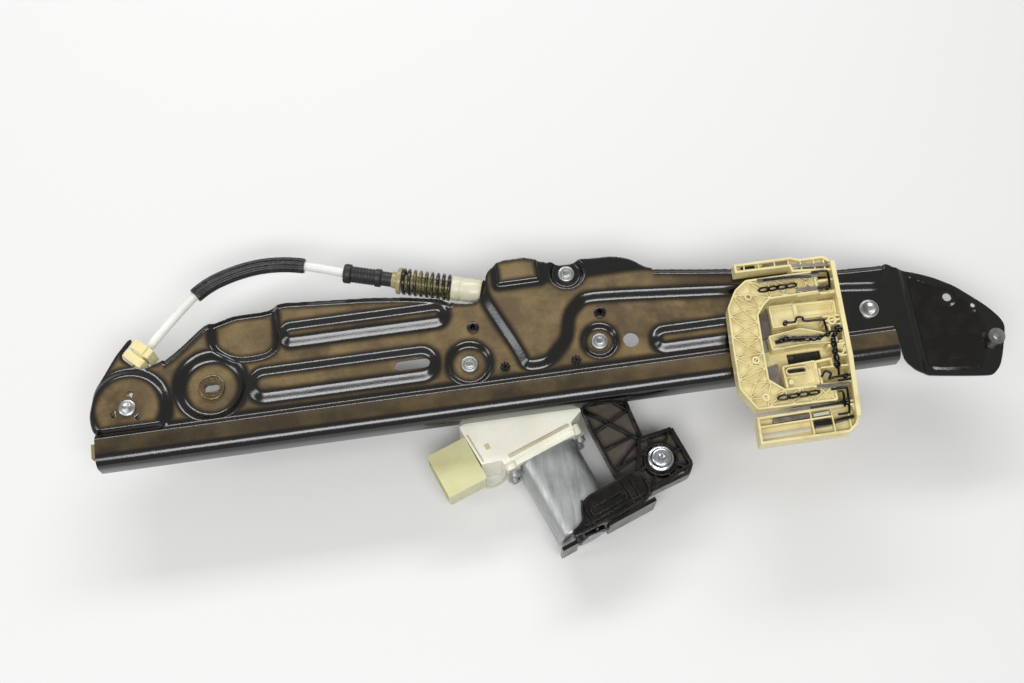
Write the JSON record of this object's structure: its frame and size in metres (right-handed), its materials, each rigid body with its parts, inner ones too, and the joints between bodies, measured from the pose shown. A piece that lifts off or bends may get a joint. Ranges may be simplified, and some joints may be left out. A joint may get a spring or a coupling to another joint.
{
  "type": "window regulator",
  "caption": "Cable-driven vehicle window regulator: stamped plate with integral guide rail, glass slider, pulleys, Bowden conduit with slack spring and gear motor.",
  "frame": {"origin": "axis of the locating hole, at the top face of the plate web", "axes": "+X along the guide rail towards its upper end, +Y towards the conduit side, +Z towards the glass side, along the locating hole"},
  "size_m": [0.6505, 0.2379, 0.082],
  "materials": {
    "black_film": "crinkled film",
    "black_plastic": "glass filled, satin",
    "black_rubber": "moulded",
    "board_green": "lacquered",
    "brass_pins": "tinned",
    "coated_steel": "glossy black electrocoat under brownish cavity wax",
    "conduit_white": "extruded",
    "dark_steel": "greasy",
    "ferrite": "sintered",
    "green_plastic": "satin moulded",
    "olive_plastic": "moulded",
    "pom_cream": "satin moulded, aged and greasy",
    "pom_natural": "satin moulded",
    "spring_steel": "oiled black",
    "steel_cable": "greased stranded steel",
    "white_plastic": "satin moulded",
    "zinc_steel": "zinc plated"
  },
  "bodies": {
    "carrier": {"bowden_conduit": "conduit_white", "bracket_bolt": "zinc_steel", "bracket_bush": "zinc_steel", "brush_holder": "black_plastic", "cable_ferrule": "pom_cream", "can_screws": "zinc_steel", "carrier_plate": "coated_steel", "circuit_board": "board_green", "conduit_clip": "pom_cream", "conduit_sleeve": "black_rubber", "connector_pins": "brass_pins", "connector_shell": "green_plastic", "drum_axle": "zinc_steel", "drum_housing": "black_plastic", "electronics_cover": "white_plastic", "electronics_housing": "white_plastic", "gear_cover": "zinc_steel", "gear_housing": "black_plastic", "housing_rivets": "zinc_steel", "left_pulley_rivet": "zinc_steel", "locating_pins": "black_plastic", "motor_bracket": "black_plastic", "motor_can": "zinc_steel", "motor_magnets": "ferrite", "protective_film": "black_film", "rail_cable": "steel_cable", "rail_end_buffer": "olive_plastic", "return_cable": "steel_cable", "right_pulley_rivet": "zinc_steel", "slack_spring": "spring_steel", "slotted_bush": "zinc_steel", "snap_pins": "black_plastic", "tension_boot": "black_rubber", "tension_ring": "pom_cream", "upper_clinch_nut": "zinc_steel"},
    "slider": {"slider_carrier": "pom_cream", "clamp_frame": "pom_cream", "clamp_plates": "dark_steel", "latch_arm": "pom_cream", "latch_pin": "zinc_steel", "clamp_wires": "spring_steel", "cable_nipples": "zinc_steel", "guide_shoe": "black_plastic"},
    "left_pulley": {"left_pulley": "pom_natural"},
    "right_pulley": {"right_pulley": "pom_natural"},
    "drum": {"cable_drum": "pom_natural", "cable_windings": "steel_cable", "worm_wheel": "pom_natural", "coupling_damper": "black_rubber"},
    "armature": {"armature": "dark_steel"}
  },
  "joints": [
    {"name": "slider_travel", "type": "slide", "parent": "carrier", "child": "slider", "axis": [1, 0, 0], "range_m": [-0.405, 0.02]},
    {"name": "left_pulley_spin", "type": "hinge", "parent": "carrier", "child": "left_pulley", "pos_m": [-0.356, -0.0015, -0.009], "axis": [0, 0, 1], "range_deg": [-1056.8, 54.1]},
    {"name": "right_pulley_spin", "type": "hinge", "parent": "carrier", "child": "right_pulley", "pos_m": [0.1724, -0.0015, -0.009], "axis": [0, 0, 1], "range_deg": [-1056.8, 54.1]},
    {"name": "drum_spin", "type": "hinge", "parent": "carrier", "child": "drum", "pos_m": [-0.07, 0.018, -0.009], "axis": [0, 0, 1], "range_deg": [-968.9, 49.7]},
    {"name": "armature_spin", "type": "hinge", "parent": "carrier", "child": "armature", "pos_m": [-0.0702, -0.0649, -0.042], "axis": [0.3502, -0.9367, 0], "range_deg": [-46429.6, 2311.8]}
  ],
  "couplings": [
    {"joint": "left_pulley_spin", "follows": "slider_travel", "rad_per_m": 45.455},
    {"joint": "right_pulley_spin", "follows": "slider_travel", "rad_per_m": 45.455},
    {"joint": "drum_spin", "follows": "slider_travel", "rad_per_m": 41.667},
    {"joint": "armature_spin", "follows": "slider_travel", "rad_per_m": 2000}
  ]
}
